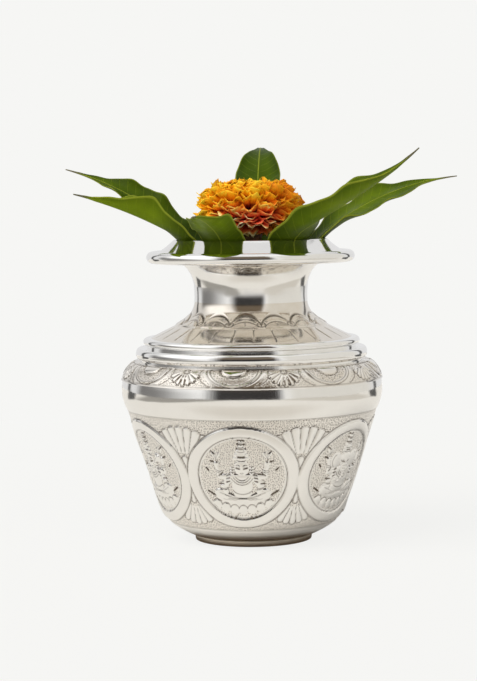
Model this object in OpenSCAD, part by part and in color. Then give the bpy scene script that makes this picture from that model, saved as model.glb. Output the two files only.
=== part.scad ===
// Kalash: a footed water pot of bright white metal, dressed with six mango leaves and a marigold.
// Millimetres, +Z up. The origin is the centre of the foot, on the surface that the pot stands on.

/* [Sheet and fits] */
// Thickness of the pot's sheet
sheet = 1.2; // [0.8:0.1:1.8]
// Gap left between pieces that rest on each other and lift apart
seat_gap = 0.3; // [0.2:0.05:0.5]

/* [Foot] */
// How far the standing face keeps inside the edge of the belly's underside
foot_inset = 1; // [0.5:0.5:8]
// Height of the foot ring
foot_h = 3; // [2:0.5:6]
// Width of the standing face
foot_face = 4.5; // [3:0.5:8]

/* [Belly] */
// Largest diameter, at the shoulder edge
belly_d = 141.6; // [136:0.2:156]
// How far the curve below the shoulder edge draws in
crown_w = 3.8; // [2:0.2:8]
// How far the straight flank draws in
flank_w = 17; // [12:0.5:22]
// How far the rounded bottom draws in
turn_w = 17.5; // [14:0.5:22]
// Height of the rounded bottom
turn_h = 14; // [10:0.5:18]
// Height of the straight flank
flank_h = 52; // [40:1:64]
// Height of the curve from the flank to the shoulder edge
crown_h = 18.5; // [14:0.5:24]
// Rise of the rounded bottom where it leaves the underside, per unit of run
turn_rise = 0.42; // [0.2:0.02:0.6]

/* [Medallions] */
// Number of round medallions on the belly
medallions = 6; // [5:1:6]
// Outer diameter of a medallion's raised frame
frame_d = 58; // [48:1:59]
// Width of the raised frame
frame_w = 5.6; // [3:0.2:8]
// Height of the raised frame above the flank
frame_relief = 0.6; // [0.3:0.1:1]
// Height of the medallions' middles above the underside
medallion_z = 37.5; // [34:0.5:44]
// Direction of the front medallion
medallion_turn = 264; // [240:1:299]

/* [Shoulder and step rings] */
// Height of the sloping shoulder band
shoulder_h = 9.5; // [6:0.5:14]
// How far the shoulder band draws in
shoulder_w = 7.3; // [4:0.1:10]
// Width of the ledge left outside the lower step ring
lower_ledge = 1; // [0.6:0.1:3]
// Height of the lower step ring
lower_ring_h = 7.4; // [5:0.2:10]
// Width of the ledge left outside the upper step ring
upper_ledge = 4; // [2.6:0.1:6]
// Height of the upper step ring
upper_ring_h = 5.2; // [4:0.2:8]
// Radial thickness of the ring mouldings
ring_t = 3; // [2.4:0.2:4]
// Height of the groove under each ring
groove_h = 1.4; // [0.8:0.1:2]
// How far each ring bulges beyond its groove
ring_bulge = 1.8; // [1:0.1:2.4]

/* [Neck] */
// Width of the ledge left outside the neck cone
cone_ledge = 4.3; // [3:0.1:6]
// Height of the neck cone
cone_h = 19.4; // [14:0.2:26]
// Diameter of the waist
neck_d = 61; // [54:0.5:66]
// Height of the straight waist
waist_h = 8; // [4:0.5:16]
// Height of the flare above the waist, up to the underside of the flange
flare_h = 14.9; // [10:0.1:20]

/* [Rim and mouth] */
// Diameter over the rolled rim
rim_d = 112.4; // [106:0.2:124]
// Diameter of the rim's roll
roll_d = 6.2; // [4:0.1:7]
// Width of the flat flange that the mouth cover stands on
flange_w = 3.4; // [3:0.2:8]
// Diameter of the mouth at the crest of its lip
lip_d = 82; // [76:0.5:90]
// Height of the lip's crest above the flange
lip_h = 9.3; // [7:0.1:16]
// Diameter of the lip's rounded edge
lip_edge = 2; // [1.6:0.1:3]

/* [Leaves] */
// Direction of each leaf round the mouth
leaf_azimuth = [152, 198, 247, 305, 12, 85]; // [0:1:360]
// How far each leaf turns sideways from lip to tip
leaf_turn = [4, 24, 14, 80, 4, 2]; // [-90:1:90]
// Rise of each leaf just outside the lip
leaf_rise = [36, 27, 21, 25, 35, 58]; // [0:1:58]
// Rise of each leaf at its tip
leaf_tip_rise = [15, 11, -4, 40, 6, -28]; // [-40:1:60]
// How late each leaf bends between those two: 1 bends evenly, more bends near the tip
leaf_curl = [1, 1, 1, 1, 1, 2.4]; // [1:0.1:3]
// Length of each leaf outside the lip
leaf_reach = [86, 68, 54, 86, 86, 94]; // [50:1:110]
// Half width of each leaf
leaf_half_w = [11, 13, 12.5, 14.5, 13.5, 13]; // [8:0.5:16]
// Angle by which each half of a leaf folds up from its midrib, away from the lip
leaf_fold = [26, 46, 10, 34, 10, 10]; // [0:1:60]
// Greatest fold of a leaf where it lies over the lip
lip_fold = 14; // [8:1:30]
// Twist of each leaf about its midrib, outside the lip
leaf_roll = [-24, 0, 4, 8, 20, 0]; // [-60:1:60]
// Length of each leaf that dips into the pot
leaf_dip = 56; // [40:1:70]
// Steepness of the part that dips into the pot
dip_angle = 60; // [59:1:70]
// Fold of the part that dips into the pot
dip_fold = 50; // [40:1:60]
// Radius of a leaf's bend over the lip
leaf_bend_r = 36; // [20:1:44]
// Thickness of a leaf at its midrib
midrib_t = 1.5; // [1:0.1:2]
// Thickness of a leaf at its margin
margin_t = 0.6; // [0.4:0.1:1]
// Width of a leaf's stalk
stalk_d = 2.6; // [1.6:0.2:4]
// Length of a leaf's stalk
stalk_l = 22; // [12:1:30]
// Height of the waves along a leaf's margin
leaf_wave = 1.5; // [0:0.1:2]
// Share of a blade's length over which it widens from the stalk
leaf_swell = 0.3; // [0.2:0.02:0.4]
// Share of a blade's length at which it starts to narrow
leaf_shrink = 0.58; // [0.45:0.02:0.7]
// Share of a blade's length at which only its drawn-out tip is left
leaf_tail = 0.92; // [0.85:0.01:0.96]
// Width of the drawn-out tip where it starts
tail_d = 1.8; // [1:0.1:3]

/* [Marigold] */
// Diameter of the flower head
head_d = 62; // [50:1:66]
// Height of the flower head
head_h = 33; // [26:1:42]
// Height of the head's widest petals above the lip's crest
head_lift = 14; // [12:0.5:20]
// Diameter of the heart that the petals grow from
heart_d = 20; // [16:1:26]
// Diameter of the calyx
calyx_d = 13; // [10:0.5:15]
// Height of the calyx
calyx_h = 11; // [8:0.5:14]
// Diameter of the stem
stem_d = 4.6; // [3:0.2:6]
// Petal lobes round each tier
petals = [17, 20, 20, 18, 14, 9]; // [6:1:24]
// Direction of each tier above level
tier_rise = [-46, -20, 6, 30, 53, 76]; // [-60:1:80]
// Thickness of a petal tier at its root
petal_t = 1.5; // [1:0.1:2]
// Height of the ruffles at a tier's edge
ruffle = 2.2; // [0:0.1:2.6]
// Depth of the notches between a tier's petals
notch = 2.4; // [0:0.1:4]

/* [Hidden] */
$fn = 96;

// Colours of the metal, the leaves and the petals
silver = [0.86, 0.85, 0.83];
leaf_greens = ["darkolivegreen", "olivedrab", "darkolivegreen", "olivedrab", "darkolivegreen", "olivedrab"];
petal_oranges = ["chocolate", "darkorange", "orange", "darkorange", "orange", "goldenrod"];

// Heights of the joints between the pot's pieces
base_z = foot_h;
turn_z = base_z + turn_h;
flank_z = turn_z + flank_h;
edge_z = flank_z + crown_h;
shelf_z = edge_z + shoulder_h;
lower_top_z = shelf_z + lower_ring_h;
upper_top_z = lower_top_z + upper_ring_h;
cone_top_z = upper_top_z + cone_h;
waist_top_z = cone_top_z + waist_h;
flange_z = waist_top_z + flare_h + sheet;
lip_z = flange_z + lip_h;
floor_z = base_z + sheet;

// Radii that several pieces share, each drawn in from the one before it
seam_r = belly_d / 2;
flank_high_r = seam_r - crown_w;
flank_low_r = flank_high_r - flank_w;
base_r = flank_low_r - turn_w;
foot_r = base_r - foot_inset;
shoulder_top_r = seam_r - shoulder_w;
lower_ring_r = shoulder_top_r - lower_ledge;
upper_ring_r = lower_ring_r - upper_ledge;
cone_r = upper_ring_r - cone_ledge;
lip_r = lip_d / 2;
lip_edge_r = lip_edge / 2;
neck_r = neck_d / 2;
roll_r = roll_d / 2;
roll_c = rim_d / 2 - roll_r;
// The flange and the mouth cover end on a flat inside the roll, at this share of its radius from its middle
roll_flat = 0.68;
flange_r = roll_c - roll_flat * roll_r;
roll_flat_a = acos(-roll_flat);
// Each shelf reaches this far inside the piece that stands on it
shelf_lap = 1;
// Samples along a curved stretch of an outline
curve_n = 12;

// Control points of the outlines' curves, as shares of each curve's run and of its rise
foot_knee = [0.5, 0.25];
crown_knee_drop = 0.4;
shoulder_knee = [0.42, 0.86];
cone_knees = [[0.44, 0.3], [0.96, 0.48]];
flare_knees = [[0, 0.6], [0.37, 1]];
cover_knee = [0.5, 0.34];
calyx_knee = [1.1, 0.2];
// Direction of the mouth cover's outer normal where it meets the rounded lip
lip_a = 62;
// Width of the cone's foot, and of the mouth cover's foot on the flange
cone_foot = 2 * sheet;
cover_foot = 1.6 * sheet;
// How far the mouth cover's inner curve keeps inside its outer curve
cover_inset = 0.75 * sheet;

// Point at t on the curve that the control points p draw, worked out by repeated halving of spans
function bezier(p, t) = len(p) == 1
    ? p[0]
    : bezier([for (i = [0 : len(p) - 2]) p[i] * (1 - t) + p[i + 1] * t], t);
function curve(p) = [for (i = [0 : curve_n]) bezier(p, i / curve_n)];
function reversed(p) = [for (i = [len(p) - 1 : -1 : 0]) p[i]];
function unit(v) = v / norm(v);
function smooth(x) = let (c = max(0, min(1, x))) c * c * (3 - 2 * c);
function mix(a, b, x) = a + (b - a) * x;

// Left-hand normal of an open outline at point i, from the points on each side of it
function left_normal(p, i) = let (
    a = p[max(0, i - 1)],
    b = p[min(len(p) - 1, i + 1)],
    d = unit(b - a)
) [-d.y, d.x];
// Outline moved sideways by one sheet, with its two ends moved by given steps
function inner_side(p, first, last) = [
    for (i = [0 : len(p) - 1])
        i == 0 ? p[i] + first
        : i == len(p) - 1 ? p[i] + last
        : p[i] + sheet * left_normal(p, i)
];
// Closed section of a sheet whose outer side is p, drawn from the foot upwards
function sheet_section(p, first, last) = concat(p, reversed(inner_side(p, first, last)));

// Belly's outer side, from the edge of the underside up to the shoulder seam
flank_slope = flank_w / flank_h;
turn_start = [base_r, base_z];
turn_end = [flank_low_r, turn_z];
turn_run = (turn_w - flank_slope * turn_h) / (1 - flank_slope * turn_rise);
turn_knee = turn_start + turn_run * [1, turn_rise];
crown_start = [flank_high_r, flank_z];
crown_knee = [seam_r, edge_z - crown_knee_drop * crown_h];
belly_side = concat(
    curve([turn_start, turn_knee, turn_end]),
    curve([crown_start, crown_knee, [seam_r, edge_z]])
);

module revolved(section) {
    rotate_extrude() polygon(section);
}

// A step ring: a groove, a rounded bulge above it and a flat shelf for the next piece
module step_ring(outer_r, h, z, shelf_r) {
    top_r = outer_r - ring_bulge;
    bulge_h = (h - groove_h) / 2;
    bulge = [
        for (i = [0 : curve_n])
            let (a = -90 + 180 * i / curve_n)
            [top_r + ring_bulge * cos(a), z + groove_h + bulge_h * (1 + sin(a))]
    ];
    inner_r = ring_inner_r(outer_r);
    revolved(concat(
        [[inner_r, z], [top_r, z]],
        bulge,
        [[shelf_r, z + h], [shelf_r, z + h - sheet], [inner_r, z + h - sheet]]
    ));
}

// Inner radius of a step ring
function ring_inner_r(outer_r) = outer_r - ring_bulge - ring_t;

module foot_ring() {
    top_r = base_r - sheet / 2;
    knee = [mix(foot_r, top_r, foot_knee.x), foot_knee.y * foot_h];
    outer = curve([[foot_r, 0], knee, [top_r, foot_h]]);
    bore_r = foot_r - foot_face;
    color(silver) revolved(concat(outer, [[bore_r, foot_h], [bore_r, 0]]));
}

// Raised round frame on the belly's flank, square to the direction that it faces and rooted in the sheet
module medallion_frame() {
    inner_skin = [for (p = belly_side) p - [sheet / 2, 0]];
    outer_skin = [for (p = belly_side) p + [frame_relief, 0]];
    flank_lean = atan(flank_slope);
    mid = [turn_end.x + flank_slope * (medallion_z - turn_h), 0, base_z + medallion_z];
    intersection() {
        revolved(concat(inner_skin, reversed(outer_skin)));
        translate(mid) rotate([0, 90 + flank_lean, 0]) difference() {
            cylinder(d = frame_d, h = frame_d / 2, center = true);
            cylinder(d = frame_d - 2 * frame_w, h = frame_d, center = true);
        }
    }
}

module belly_bowl() {
    inner = inner_side(belly_side, [0, sheet], [-sheet, 0]);
    color(silver) union() {
        revolved(concat([[0, base_z]], belly_side, reversed(inner), [[0, floor_z]]));
        for (i = [0 : medallions - 1])
            rotate(medallion_turn + i * 360 / medallions) medallion_frame();
    }
}

module shoulder_band() {
    shelf_r = ring_inner_r(lower_ring_r) - shelf_lap;
    top = [shoulder_top_r, shelf_z];
    knee = [mix(seam_r, top.x, shoulder_knee.x), mix(edge_z, shelf_z, shoulder_knee.y)];
    outer = concat(curve([[seam_r, edge_z], knee, top]), [[shelf_r, shelf_z]]);
    color(silver) revolved(sheet_section(outer, [-sheet, 0], [0, -sheet]));
}

module lower_step_ring() {
    shelf_r = ring_inner_r(upper_ring_r) - shelf_lap;
    color(silver) step_ring(lower_ring_r, lower_ring_h, shelf_z, shelf_r);
}

module upper_step_ring() {
    shelf_r = cone_r - cone_foot - shelf_lap;
    color(silver) step_ring(upper_ring_r, upper_ring_h, lower_top_z, shelf_r);
}

module neck_cone() {
    knees = [for (k = cone_knees) [mix(cone_r, neck_r, k.x), upper_top_z + k.y * cone_h]];
    outer = curve(concat([[cone_r, upper_top_z]], knees, [[neck_r, cone_top_z]]));
    color(silver) revolved(sheet_section(outer, [-cone_foot, 0], [-sheet, 0]));
}

module neck_flare() {
    under_z = flange_z - sheet;
    bend_r = flange_r - flange_w;
    knees = [for (k = flare_knees) [mix(neck_r, bend_r, k.x), waist_top_z + k.y * flare_h]];
    outer = concat(
        [[neck_r, cone_top_z]],
        curve(concat([[neck_r, waist_top_z]], knees, [[bend_r, under_z]])),
        [[flange_r, under_z]]
    );
    color(silver) revolved(sheet_section(outer, [-sheet, 0], [0, sheet]));
}

// Rolled edge, cut flat inside where the flange and the mouth cover end on it
module rim_roll() {
    section = [
        for (i = [0 : 3 * curve_n])
            let (a = roll_flat_a * (2 * i / (3 * curve_n) - 1))
            [roll_c + roll_r * cos(a), flange_z + roll_r * sin(a)]
    ];
    color(silver) revolved(section);
}

module mouth_cover() {
    lip_mid = [lip_r, lip_z - lip_edge_r];
    lip_out = lip_mid + lip_edge_r * [cos(lip_a), sin(lip_a)];
    lip_in = lip_mid - lip_edge_r * [cos(lip_a), sin(lip_a)];
    skirt = [flange_r, flange_z + roll_r * sin(roll_flat_a)];
    knee = [mix(flange_r, lip_r, cover_knee.x), mix(skirt.y, lip_out.y, cover_knee.y)];
    inner_knee = knee - cover_inset * [1, 1];
    edge = [
        for (i = [1 : curve_n - 1])
            let (a = lip_a + 180 * i / curve_n)
            lip_mid + lip_edge_r * [cos(a), sin(a)]
    ];
    color(silver) revolved(concat(
        [[flange_r, flange_z]],
        curve([skirt, knee, lip_out]),
        edge,
        curve([lip_in, inner_knee, [flange_r - cover_foot, flange_z]])
    ));
}

// Grid of leaf stations: rows inside the pot, rows outside it, and points across each half
leaf_rows_in = 12;
leaf_rows_out = 20;
leaf_cols = 3;
// Length of the waves along a margin, in half widths, and their shift from leaf to leaf
wave_span = 2;
wave_shift = 70;
// Share of its thickness that a leaf keeps at its very tip
tip_share = 0.3;
// Share of a leaf's reach over which it folds up past the lip
fold_run = 0.4;

// Slope of leaf i at distance s past the lip: steep in the neck, bent over the lip, then easing to the tip
function leaf_slope(i, s) = let (
    half_bend = leaf_bend_r * (dip_angle - leaf_rise[i]) * PI / 360,
    x = (s + half_bend) / (2 * half_bend),
    y = (s - half_bend) / (leaf_reach[i] - half_bend)
) s <= -half_bend ? dip_angle
    : s < half_bend ? mix(dip_angle, leaf_rise[i], x)
    : mix(leaf_rise[i], leaf_tip_rise[i], pow(min(1, y), leaf_curl[i]));
function leaf_heading(i, s) = leaf_azimuth[i] + leaf_turn[i] * max(0, s) / leaf_reach[i];
function leaf_along(i, s) = let (
    h = leaf_heading(i, s),
    r = leaf_slope(i, s)
) [cos(h) * cos(r), sin(h) * cos(r), sin(r)];

// Point of the midrib that lies over the lip, one seat gap above its rounded edge
function leaf_seat(i) = let (
    lean = leaf_slope(i, 0),
    off = lip_edge_r + seat_gap + midrib_t / 2,
    r = lip_r - off * sin(lean),
    z = lip_z - lip_edge_r + off * cos(lean),
    h = leaf_azimuth[i]
) [r * cos(h), r * sin(h), z];
// Midrib points from the lip outwards, or inwards where the length is negative, added up step by step
function midrib(i, length, rows) = [
    for (
        k = 0, step = length / rows, p = leaf_seat(i);
        k <= rows;
        p = p + step * leaf_along(i, (k + 0.5) * step), k = k + 1
    ) p
];

// Half width of leaf i at distance s: a stalk, then a lance-shaped blade with a drawn-out tip
function leaf_width(i, s) = let (
    x = (s + leaf_dip - stalk_l) / (leaf_reach[i] + leaf_dip - stalk_l),
    blade = smooth(x / leaf_swell) * (1 - smooth((x - leaf_shrink) / (leaf_tail - leaf_shrink))),
    tail = mix(tail_d, margin_t, max(0, (x - leaf_tail) / (1 - leaf_tail)))
) mix((s > 0 ? tail : stalk_d) / 2, leaf_half_w[i], blade);

// Ring of points round leaf i at distance s and midrib point p: the upper side, then the lower side back
function leaf_ring(i, s, p) = let (
    along = leaf_along(i, s),
    h = leaf_heading(i, s),
    flat_side = [-sin(h), cos(h), 0],
    flat_up = cross(along, flat_side),
    roll = leaf_roll[i] * smooth(s / leaf_reach[i] * 2),
    side = flat_side * cos(roll) + flat_up * sin(roll),
    up = flat_up * cos(roll) - flat_side * sin(roll),
    over_lip = min(leaf_fold[i], lip_fold),
    fold = s < 0 ? mix(dip_fold, over_lip, smooth(1 + 2 * s / leaf_dip))
        : mix(over_lip, leaf_fold[i], smooth(s / leaf_reach[i] / fold_run)),
    w = leaf_width(i, s),
    beat = sin(360 * s / leaf_half_w[i] / wave_span + wave_shift * i),
    ripple = leaf_wave * smooth(s / leaf_half_w[i]) * beat * w / leaf_half_w[i],
    thin = min(1, tip_share + w / stalk_d)
) concat(
    [for (j = [-leaf_cols : leaf_cols]) leaf_point(p, side, up, j / leaf_cols, w, fold, ripple, thin)],
    [for (j = [leaf_cols : -1 : -leaf_cols]) leaf_point(p, side, up, j / leaf_cols, w, fold, ripple, -thin)]
);
// Point at v across a leaf, from -1 at one margin to 1 at the other, on the upper or the lower face
function leaf_point(p, side, up, v, w, fold, ripple, face) = let (
    t = mix(midrib_t, margin_t, abs(v)) / 2 * face,
    lift = w * abs(v) * sin(fold) + ripple * v * v + t
) p + side * w * v * cos(fold) + up * lift;

// Triangles of a skin over closed rings, each of n points, and of a strip over each end; the lower face is split
// the other way along its rings, so that both faces of a thin blade bend alike
function ring_faces(rows, n) = [
    for (k = [0 : rows - 2], j = [0 : n - 1])
        let (a = k * n + j, b = k * n + (j + 1) % n)
        each j < n / 2 ? [[a, b + n, b], [a, a + n, b + n]] : [[a, a + n, b], [b, a + n, b + n]]
];
function end_faces(rows, n) = let (z = (rows - 1) * n) [
    for (j = [0 : n / 2 - 2])
        let (a = j, b = j + 1, c = n - 2 - j, d = n - 1 - j)
        each [[a, b, c], [a, c, d], [z + a, z + c, z + b], [z + a, z + d, z + c]]
];

module mango_leaf(i) {
    inside = midrib(i, -leaf_dip, leaf_rows_in);
    outside = midrib(i, leaf_reach[i], leaf_rows_out);
    rings = concat(
        [for (k = [leaf_rows_in : -1 : 1]) leaf_ring(i, -leaf_dip * k / leaf_rows_in, inside[k])],
        [for (k = [0 : leaf_rows_out]) leaf_ring(i, leaf_reach[i] * k / leaf_rows_out, outside[k])]
    );
    n = len(rings[0]);
    color(leaf_greens[i])
        polyhedron([for (r = rings) each r], concat(ring_faces(len(rings), n), end_faces(len(rings), n)));
}

module left_back_leaf() { mango_leaf(0); }
module left_leaf() { mango_leaf(1); }
module front_left_leaf() { mango_leaf(2); }
module right_front_leaf() { mango_leaf(3); }
module right_back_leaf() { mango_leaf(4); }
module back_leaf() { mango_leaf(5); }

// Middle of the flower head, and the heights of the pieces that carry it; the heart's middle stands above
// its flat underside by a share of its diameter
head_z = lip_z + head_lift;
heart_share = 0.42;
heart_rise = heart_share * heart_d;
calyx_top_z = head_z - heart_rise;
calyx_z = calyx_top_z - calyx_h;

module marigold_stem() {
    color("olivedrab") translate([0, 0, floor_z + seat_gap])
        cylinder(d = stem_d, h = calyx_z - floor_z - seat_gap);
}

module marigold_calyx() {
    side = curve([
        [stem_d / 2, calyx_z],
        [calyx_knee.x * calyx_d / 2, calyx_z + calyx_knee.y * calyx_h],
        [calyx_d / 2, calyx_top_z]
    ]);
    color("sienna") revolved(concat([[0, calyx_z]], side, [[0, calyx_top_z]]));
}

// Heart of the flower: a rounded button with a flat underside on the calyx
module marigold_heart() {
    half = heart_d / 2;
    dome = [
        for (i = [0 : 2 * curve_n])
            let (a = -asin(heart_rise / half) + (90 + asin(heart_rise / half)) * i / (2 * curve_n))
            [half * cos(a), head_z + half * sin(a)]
    ];
    color("darkred") revolved(concat([[0, calyx_top_z]], dome));
}

// Points round and across one petal tier
tier_lobe_n = 6;
tier_cols = 4;
// Shift of the ruffles from tier to tier, and the share of its thickness that a petal loses at its edge
ruffle_shift = 60;
edge_loss = 0.5;

// Edge of the flower head at a given rise: a flattened dome over a rounded underside
function head_edge(rise) = [
    head_d / 2 * cos(rise) - ruffle / 2,
    head_z + sin(rise) * (rise > 0 ? head_h - head_lift - ruffle : head_lift)
];
// Point of tier k at lobe angle u and at v from root to edge, moved by half its thickness to one face
function tier_point(k, u, v, face) = let (
    rise = tier_rise[k],
    root = [0, head_z] + (heart_d / 2 + seat_gap) * [cos(rise), sin(rise)],
    edge = head_edge(rise),
    dir = unit(edge - root),
    off = [-dir.y, dir.x],
    lobe = abs(sin(petals[k] * u / 2)),
    out = mix(root, edge, v) - dir * notch * v * (1 - lobe),
    wave = ruffle * v * v * sin(petals[k] * u + ruffle_shift * k),
    q = out + off * (wave + face * petal_t / 2 * (1 - edge_loss * v))
) [q.x * cos(u), q.x * sin(u), q.y];

// One closed frill: its upper face from root to edge, then its lower face back
module petal_tier(k) {
    turns = petals[k] * tier_lobe_n;
    rings = [
        for (i = [0 : turns - 1])
            let (u = 360 * i / turns)
            concat(
                [for (j = [0 : tier_cols]) tier_point(k, u, j / tier_cols, 1)],
                [for (j = [tier_cols : -1 : 0]) tier_point(k, u, j / tier_cols, -1)]
            )
    ];
    n = len(rings[0]);
    faces = [
        for (i = [0 : turns - 1], j = [0 : n - 1])
            let (
                next = (i + 1) % turns * n,
                a = i * n + j,
                b = i * n + (j + 1) % n,
                c = next + (j + 1) % n,
                d = next + j
            )
            each [[a, b, c], [a, c, d]]
    ];
    color(petal_oranges[k]) polyhedron([for (r = rings) each r], faces);
}

module petal_tier_1() { petal_tier(0); }
module petal_tier_2() { petal_tier(1); }
module petal_tier_3() { petal_tier(2); }
module petal_tier_4() { petal_tier(3); }
module petal_tier_5() { petal_tier(4); }
module petal_tier_6() { petal_tier(5); }

foot_ring();
belly_bowl();
shoulder_band();
lower_step_ring();
upper_step_ring();
neck_cone();
neck_flare();
rim_roll();
mouth_cover();
left_back_leaf();
left_leaf();
front_left_leaf();
right_front_leaf();
right_back_leaf();
back_leaf();
marigold_stem();
marigold_calyx();
marigold_heart();
petal_tier_1();
petal_tier_2();
petal_tier_3();
petal_tier_4();
petal_tier_5();
petal_tier_6();
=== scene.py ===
import bpy
import numpy as np
from numpy import cos, pi, radians, sin
from mathutils import Matrix


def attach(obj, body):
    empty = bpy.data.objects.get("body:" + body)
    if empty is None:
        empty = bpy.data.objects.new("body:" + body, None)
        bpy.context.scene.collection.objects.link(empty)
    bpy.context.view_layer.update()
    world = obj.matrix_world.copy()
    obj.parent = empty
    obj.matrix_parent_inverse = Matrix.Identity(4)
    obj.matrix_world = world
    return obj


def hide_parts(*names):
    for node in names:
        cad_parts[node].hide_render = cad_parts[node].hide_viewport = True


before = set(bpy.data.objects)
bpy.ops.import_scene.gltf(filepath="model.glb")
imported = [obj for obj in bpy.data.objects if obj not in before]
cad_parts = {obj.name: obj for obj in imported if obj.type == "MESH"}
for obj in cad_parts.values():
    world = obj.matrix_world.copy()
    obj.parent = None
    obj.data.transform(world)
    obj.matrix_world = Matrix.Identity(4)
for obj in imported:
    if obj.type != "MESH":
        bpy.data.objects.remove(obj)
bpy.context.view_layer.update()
scene = bpy.context.scene

# Shapes are worked out in millimetres, in the part's own frame, and become metres in piece()
MM = 0.001
DEGREES = 180 / pi


# Numbers and curves

def held(x):
    """x, but no less than 0 and no more than 1."""
    return np.clip(x, 0, 1)


def smooth(x):
    """0 below 0, 1 above 1, and 3x^2 - 2x^3 between."""
    c = held(x)
    return c * c * (3 - 2 * c)


def mix(a, b, x):
    """a at x = 0, b at x = 1."""
    return a + (b - a) * x


def bell(d, width):
    """1 where the distance d is 0, fading to both sides as exp(-(d / width)^2)."""
    return np.exp(-((d / width) ** 2))


def wrapped(angle, pitch):
    """Angle from the middle of the nearest of equal sectors, in degrees."""
    return (angle + pitch / 2) % pitch - pitch / 2


def turns(cols):
    """Even steps of one whole turn, in degrees."""
    return np.arange(cols) * 360 / cols


def ray(a):
    """Unit vector at an angle in radians: cos a, sin a."""
    return np.stack([cos(a), sin(a)], -1)


def bezier(points, n):
    """n + 1 points of the curve that control points draw: neighbours are mixed by t until one point is left."""
    t = np.linspace(0, 1, n + 1)[:, None]
    rows = [np.asarray(p, float)[None] for p in points]
    while len(rows) > 1:
        rows = [a * (1 - t) + b * t for a, b in zip(rows, rows[1:])]
    return rows[0]


def straight(a, b, n):
    """n + 1 even points from a to b."""
    return bezier([a, b], n)


def joined(*runs):
    """Runs of points put end to end, with each run's first point left out where it repeats the last one."""
    out = [np.asarray(runs[0], float)]
    for run in runs[1:]:
        run = np.asarray(run, float)
        out.append(run[1:] if np.allclose(run[0], out[-1][-1]) else run)
    return np.concatenate(out)


def way_along(run):
    """Distance of each point of a run from its first point, along the run."""
    return np.append(0, np.cumsum(np.linalg.norm(np.diff(run, axis=0), axis=1)))


def outward(profile):
    """Unit normals on the right-hand side of a profile (r, z), from the points on each side of a point."""
    d = np.gradient(profile, axis=0)
    d /= np.linalg.norm(d, axis=1, keepdims=True)
    return np.stack([d[:, 1], -d[:, 0]], 1)


# Meshes

def skin(rows, cols, loop=False, flip=False):
    """Four-sided faces between neighbouring rings of points; with loop, the last ring meets the first."""
    i, j = np.meshgrid(np.arange(rows if loop else rows - 1), np.arange(cols), indexing="ij")
    k, n = (j + 1) % cols, (i + 1) % rows
    quads = np.stack([i * cols + j, i * cols + k, n * cols + k, n * cols + j], -1).reshape(-1, 4)
    return quads[:, ::-1] if flip else quads


def capped(points, flip=False):
    """Points and faces of an open row of rings, with a middle point and a fan of triangles at each end."""
    rows, cols = points.shape[:2]
    j = np.arange(cols)
    k, first, last = (j + 1) % cols, rows * cols, rows * cols + 1
    start = np.stack([np.full(cols, first), k, j], 1)
    end = np.stack([np.full(cols, last), (rows - 1) * cols + j, (rows - 1) * cols + k], 1)
    fans = np.concatenate([start, end])
    flat = np.concatenate([points.reshape(-1, 3), points[:1].mean(1), points[-1:].mean(1)])
    return flat, [skin(rows, cols, flip=flip), fans[:, ::-1] if flip else fans]


def with_caps(marks):
    """Marks of a capped mesh: each middle point takes the value of a point on its ring."""
    return {key: np.append(values.ravel(), [values[0, 0], values[-1, 0]]) for key, values in marks.items()}


def placed(name, data):
    """An object in the scene, at the origin."""
    made = bpy.data.objects.new(name, data)
    scene.collection.objects.link(made)
    return made


def piece(name, points, faces, material, body, nodes=(), marks=None, crease=None):
    """A mesh from points in millimetres and arrays of faces, which rides on a body and stands for CAD nodes.
    marks are one number for each point, which its material reads by name; crease is the angle, in degrees,
    past which an edge is shaded as sharp."""
    mesh = bpy.data.meshes.new(name)
    mesh.vertices.add(len(points))
    mesh.vertices.foreach_set("co", (points * MM).astype(np.float32).ravel())
    sizes = np.concatenate([np.full(len(f), f.shape[1]) for f in faces])
    mesh.loops.add(int(sizes.sum()))
    mesh.loops.foreach_set("vertex_index", np.concatenate([f.ravel() for f in faces]).astype(np.int32))
    mesh.polygons.add(len(sizes))
    mesh.polygons.foreach_set("loop_start", (np.cumsum(sizes) - sizes).astype(np.int32))
    mesh.polygons.foreach_set("use_smooth", np.ones(len(sizes), bool))
    for key, values in (marks or {}).items():
        mark = mesh.attributes.new(key, "FLOAT", "POINT")
        mark.data.foreach_set("value", np.asarray(values, np.float32).ravel())
    mesh.update(calc_edges=True)
    mesh.validate()
    if crease:
        mesh.set_sharp_from_angle(angle=radians(crease))
    mesh.materials.append(material)
    made = placed(name, mesh)
    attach(made, body)
    if nodes:
        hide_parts(*nodes)


def carried_round(profile, cols, relief=0.0):
    """Profile (r, z) carried once round the Z axis; relief moves each point along the profile's normal."""
    a = radians(turns(cols))
    n = outward(profile)
    r = profile[:, :1] + n[:, :1] * relief
    z = profile[:, 1:] + n[:, 1:] * relief + 0 * a
    return np.stack([r * cos(a), r * sin(a), z], -1)


# Shaders

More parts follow.
